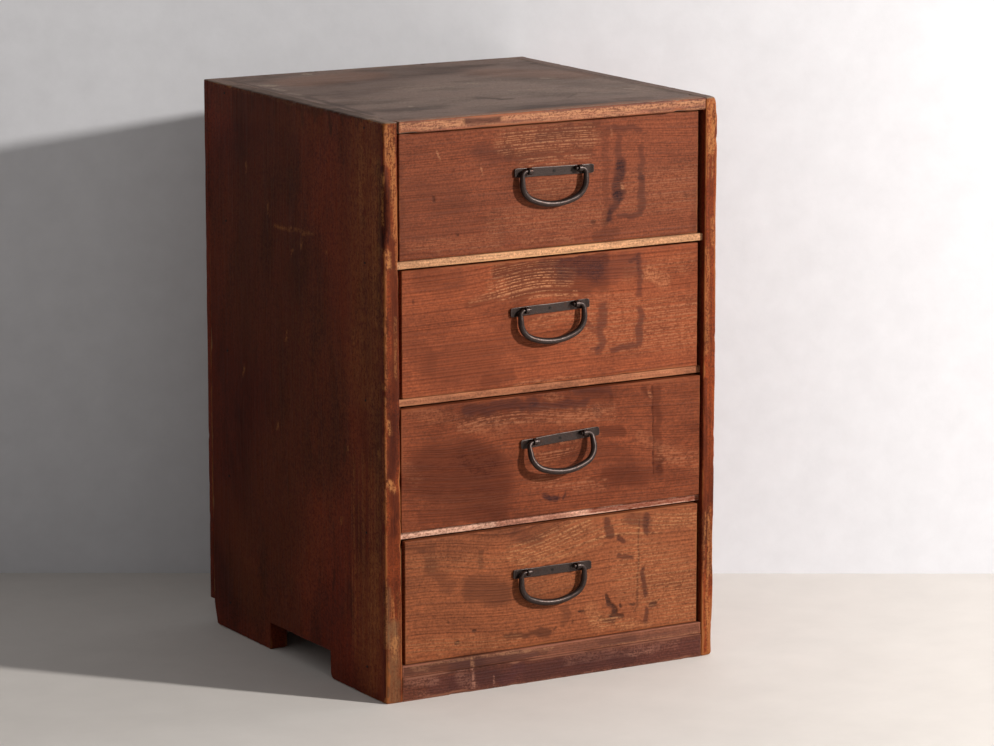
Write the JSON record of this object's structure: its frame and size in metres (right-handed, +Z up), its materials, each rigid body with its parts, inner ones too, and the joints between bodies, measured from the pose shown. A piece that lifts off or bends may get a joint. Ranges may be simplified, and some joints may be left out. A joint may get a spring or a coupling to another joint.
{
  "type": "chest of drawers",
  "caption": "Small upright wooden chest: plank sides down to the floor, thin shelves between wide drawers, a low plinth, and a forged iron bail pull on each drawer.",
  "frame": {"origin": "on the floor, at the centre of the footprint, with the pulls as they hang", "axes": "+Z up, -Y towards someone who faces the drawers, +X to their right"},
  "size_m": [0.3984, 0.4147, 0.6],
  "materials": {
    "side_wood": "dark stained softwood, worn, matt",
    "top_wood": "faded stained softwood, matt",
    "shelf_wood": "stain worn off the edges, matt",
    "plinth_wood": "dark stained softwood, scuffed",
    "front_wood": "red-brown stained softwood with raised grain, low sheen",
    "inner_wood": "bare softwood, matt",
    "pull_iron": "forged, blackened, satin",
    "nail_iron": "rusted"
  },
  "bodies": {
    "carcass": {"side_left": "side_wood", "side_right": "side_wood", "top_board": "top_wood", "shelf_upper": "shelf_wood", "shelf_middle": "shelf_wood", "shelf_lower": "shelf_wood", "bottom_board": "shelf_wood", "plinth": "plinth_wood", "back_board_left": "inner_wood", "back_board_middle": "inner_wood", "back_board_right": "inner_wood", "nails_left": "nail_iron", "nails_right": "nail_iron", "nails_back": "nail_iron"},
    "drawer_1": {"drawer_1_front": "front_wood", "drawer_1_side_left": "inner_wood", "drawer_1_side_right": "inner_wood", "drawer_1_back": "inner_wood", "drawer_1_bottom": "inner_wood", "drawer_1_nails": "nail_iron", "drawer_1_pull_plate": "pull_iron", "drawer_1_eye_left": "pull_iron", "drawer_1_eye_right": "pull_iron"},
    "bail_1": {"drawer_1_bail": "pull_iron"},
    "drawer_2": {"drawer_2_front": "front_wood", "drawer_2_side_left": "inner_wood", "drawer_2_side_right": "inner_wood", "drawer_2_back": "inner_wood", "drawer_2_bottom": "inner_wood", "drawer_2_nails": "nail_iron", "drawer_2_pull_plate": "pull_iron", "drawer_2_eye_left": "pull_iron", "drawer_2_eye_right": "pull_iron"},
    "bail_2": {"drawer_2_bail": "pull_iron"},
    "drawer_3": {"drawer_3_front": "front_wood", "drawer_3_side_left": "inner_wood", "drawer_3_side_right": "inner_wood", "drawer_3_back": "inner_wood", "drawer_3_bottom": "inner_wood", "drawer_3_nails": "nail_iron", "drawer_3_pull_plate": "pull_iron", "drawer_3_eye_left": "pull_iron", "drawer_3_eye_right": "pull_iron"},
    "bail_3": {"drawer_3_bail": "pull_iron"},
    "drawer_4": {"drawer_4_front": "front_wood", "drawer_4_side_left": "inner_wood", "drawer_4_side_right": "inner_wood", "drawer_4_back": "inner_wood", "drawer_4_bottom": "inner_wood", "drawer_4_nails": "nail_iron", "drawer_4_pull_plate": "pull_iron", "drawer_4_eye_left": "pull_iron", "drawer_4_eye_right": "pull_iron"},
    "bail_4": {"drawer_4_bail": "pull_iron"}
  },
  "joints": [
    {"name": "drawer_1_slide", "type": "slide", "parent": "carcass", "child": "drawer_1", "axis": [0, -1, 0], "range_m": [0, 0.28]},
    {"name": "bail_1_hinge", "type": "hinge", "parent": "drawer_1", "child": "bail_1", "pos_m": [0.00203, -0.19015, 0.53773], "axis": [-0.9998, 0, 0.0175], "range_deg": [-3, 173]},
    {"name": "drawer_2_slide", "type": "slide", "parent": "carcass", "child": "drawer_2", "axis": [0, -1, 0], "range_m": [0, 0.28]},
    {"name": "bail_2_hinge", "type": "hinge", "parent": "drawer_2", "child": "bail_2", "pos_m": [-0.00094, -0.19115, 0.39551], "axis": [-0.9997, 0, -0.0244], "range_deg": [-6, 170]},
    {"name": "drawer_3_slide", "type": "slide", "parent": "carcass", "child": "drawer_3", "axis": [0, -1, 0], "range_m": [0, 0.28]},
    {"name": "bail_3_hinge", "type": "hinge", "parent": "drawer_3", "child": "bail_3", "pos_m": [0.00742, -0.19415, 0.25808], "axis": [-0.9985, 0, -0.0541], "range_deg": [-18, 158]},
    {"name": "drawer_4_slide", "type": "slide", "parent": "carcass", "child": "drawer_4", "axis": [0, -1, 0], "range_m": [0, 0.28]},
    {"name": "bail_4_hinge", "type": "hinge", "parent": "drawer_4", "child": "bail_4", "pos_m": [-0.00059, -0.19355, 0.11866], "axis": [-1, 0, 0.0052], "range_deg": [-2.5, 173.5]}
  ]
}
